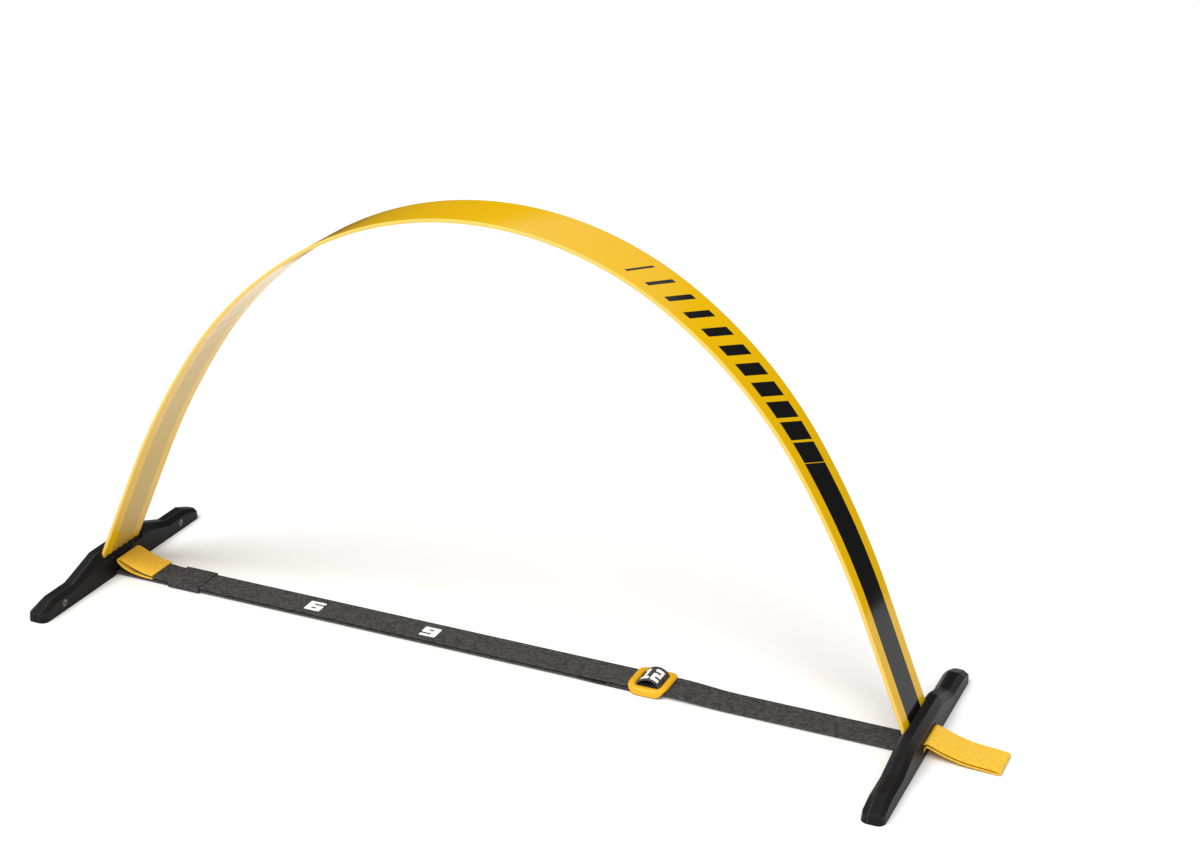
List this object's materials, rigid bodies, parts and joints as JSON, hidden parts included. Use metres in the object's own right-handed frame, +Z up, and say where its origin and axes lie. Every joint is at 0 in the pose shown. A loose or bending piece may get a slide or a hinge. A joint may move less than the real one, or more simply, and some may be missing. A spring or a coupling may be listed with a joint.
{
  "type": "speed hurdle",
  "caption": "Low training hurdle: a springy strip arched between two narrow feet, with a floor strap and slider buckle that set the height of the arch.",
  "frame": {"origin": "centre of the box round the whole hurdle, foot tab included, at floor level", "axes": "+X along the span, from the left foot to the foot that carries the yellow tab; +Y across the arch; +Z up"},
  "size_m": [0.6522, 0.204, 0.3048],
  "materials": {
    "strip": "translucent gloss",
    "foot": "satin moulded",
    "rod": "satin",
    "steel": "blackened",
    "black_webbing": "ribbed webbing",
    "yellow_webbing": "ribbed webbing",
    "buckle": "gloss moulded"
  },
  "bodies": {
    "left_foot": {"left_foot_body": "foot", "left_foot_cover": "foot", "left_foot_front_screw": "steel", "left_foot_rear_screw": "steel", "left_strap_bar": "steel", "anchor_strap": "black_webbing", "buckle": "buckle"},
    "left_leg": {"left_strip_leg": "strip", "left_pivot_rod": "rod"},
    "left_shoulder": {"left_strip_shoulder": "strip"},
    "crown": {"strip_crown": "strip"},
    "right_shoulder": {"right_strip_shoulder": "strip"},
    "right_leg": {"right_strip_leg": "strip", "right_pivot_rod": "rod"},
    "right_foot": {"right_foot_body": "foot", "right_foot_cover": "foot", "right_foot_front_screw": "steel", "right_foot_rear_screw": "steel", "adjusting_strap": "black_webbing", "strap_keeper": "black_webbing", "pull_tab": "yellow_webbing", "foot_tab": "yellow_webbing"}
  },
  "joints": [
    {"name": "left_foot_pivot", "type": "hinge", "parent": "left_foot", "child": "left_leg", "pos_m": [-0.31708, 0, 0.014], "axis": [0, 1, 0], "range_deg": [0, 32.92]},
    {"name": "left_leg_flex", "type": "hinge", "parent": "left_leg", "child": "left_shoulder", "pos_m": [-0.14905, 0, 0.26797], "axis": [0, 1, 0], "range_deg": [-19.75, 0]},
    {"name": "left_crown_flex", "type": "hinge", "parent": "left_shoulder", "child": "crown", "pos_m": [-0.06386, 0, 0.30127], "axis": [0, 1, 0], "range_deg": [-13.17, 0]},
    {"name": "right_crown_flex", "type": "hinge", "parent": "crown", "child": "right_shoulder", "pos_m": [0.01686, 0, 0.30127], "axis": [0, 1, 0], "range_deg": [-13.17, 0]},
    {"name": "right_leg_flex", "type": "hinge", "parent": "right_shoulder", "child": "right_leg", "pos_m": [0.10205, 0, 0.26797], "axis": [0, 1, 0], "range_deg": [-19.75, 0]},
    {"name": "right_foot_pivot", "type": "hinge", "parent": "right_leg", "child": "right_foot", "pos_m": [0.27008, 0, 0.014], "axis": [0, 1, 0], "range_deg": [0, 32.92]}
  ],
  "couplings": [
    {"joint": "left_leg_flex", "follows": "left_foot_pivot", "ratio": -0.6},
    {"joint": "left_crown_flex", "follows": "left_foot_pivot", "ratio": -0.4},
    {"joint": "right_crown_flex", "follows": "left_foot_pivot", "ratio": -0.4},
    {"joint": "right_leg_flex", "follows": "left_foot_pivot", "ratio": -0.6},
    {"joint": "right_foot_pivot", "follows": "left_foot_pivot", "ratio": 1}
  ]
}
